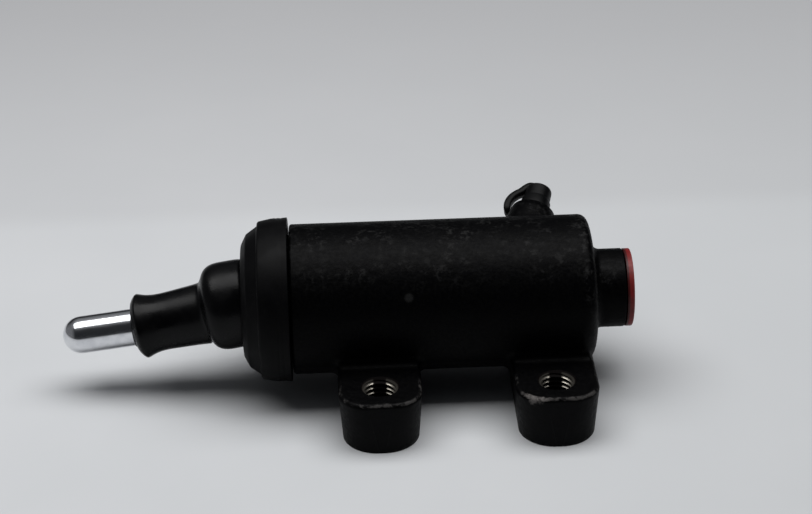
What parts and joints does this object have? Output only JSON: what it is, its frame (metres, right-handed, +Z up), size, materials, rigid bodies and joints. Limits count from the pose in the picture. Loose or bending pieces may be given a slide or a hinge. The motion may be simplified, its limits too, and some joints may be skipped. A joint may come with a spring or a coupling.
{
  "type": "clutch slave cylinder",
  "caption": "Cast iron hydraulic cylinder with side lugs, rubber dust boot, push rod, capped bleed screw and plugged inlet.",
  "frame": {"origin": "middle of the two mounting holes, on the flat underside of the lugs", "axes": "+X along the bore towards the fluid inlet, +Y from the holes to the bore, +Z up, away from the lugs' flat underside"},
  "size_m": [0.1686, 0.0812, 0.0517],
  "materials": {
    "black_casting": "rough cast, painted satin black",
    "piston_alloy": "turned",
    "spring_steel": "dark phosphate",
    "seal_rubber": "smooth",
    "seat_moulding": "natural",
    "plated_rod": "bright zinc plate",
    "boot_rubber": "satin",
    "plated_screw": "zinc plate",
    "cap_rubber": "satin",
    "red_plug": "moulded, semi-gloss"
  },
  "bodies": {
    "cylinder": {"cylinder_body": "black_casting", "piston_circlip": "spring_steel", "dust_boot": "boot_rubber", "return_spring": "spring_steel"},
    "piston": {"piston": "piston_alloy", "piston_cup": "seal_rubber", "cup_spreader": "seat_moulding"},
    "push_rod": {"push_rod": "plated_rod"},
    "bleed_screw": {"bleed_screw": "plated_screw"},
    "bleed_cap": {"bleed_cap": "cap_rubber"},
    "port_plug": {"port_plug": "red_plug"}
  },
  "joints": [
    {"name": "piston_slide", "type": "slide", "parent": "cylinder", "child": "piston", "axis": [1, 0, 0], "range_m": [0, 0.024], "stiffness_N_per_m": 500, "springref_m": -0.03, "deforming": ["return_spring", "dust_boot"]},
    {"name": "rod_tilt", "type": "hinge", "parent": "piston", "child": "push_rod", "pos_m": [-0.036, 0.032, 0.0274], "axis": [0, 1, 0], "range_deg": [-0.5, 14.5], "stiffness_Nm_per_rad": 1, "springref_deg": 1.4, "deforming": ["dust_boot"]},
    {"name": "bleed_screw_turn", "type": "hinge", "parent": "cylinder", "child": "bleed_screw", "pos_m": [0.02377, 0.05898, 0.03886], "axis": [0.2865, 0.8818, 0.3746], "range_deg": [0, 360]},
    {"name": "bleed_cap_pull", "type": "slide", "parent": "bleed_screw", "child": "bleed_cap", "axis": [0.2865, 0.8818, 0.3746], "range_m": [0, 0.018]},
    {"name": "port_plug_pull", "type": "slide", "parent": "cylinder", "child": "port_plug", "axis": [1, 0, 0], "range_m": [0, 0.02]}
  ]
}
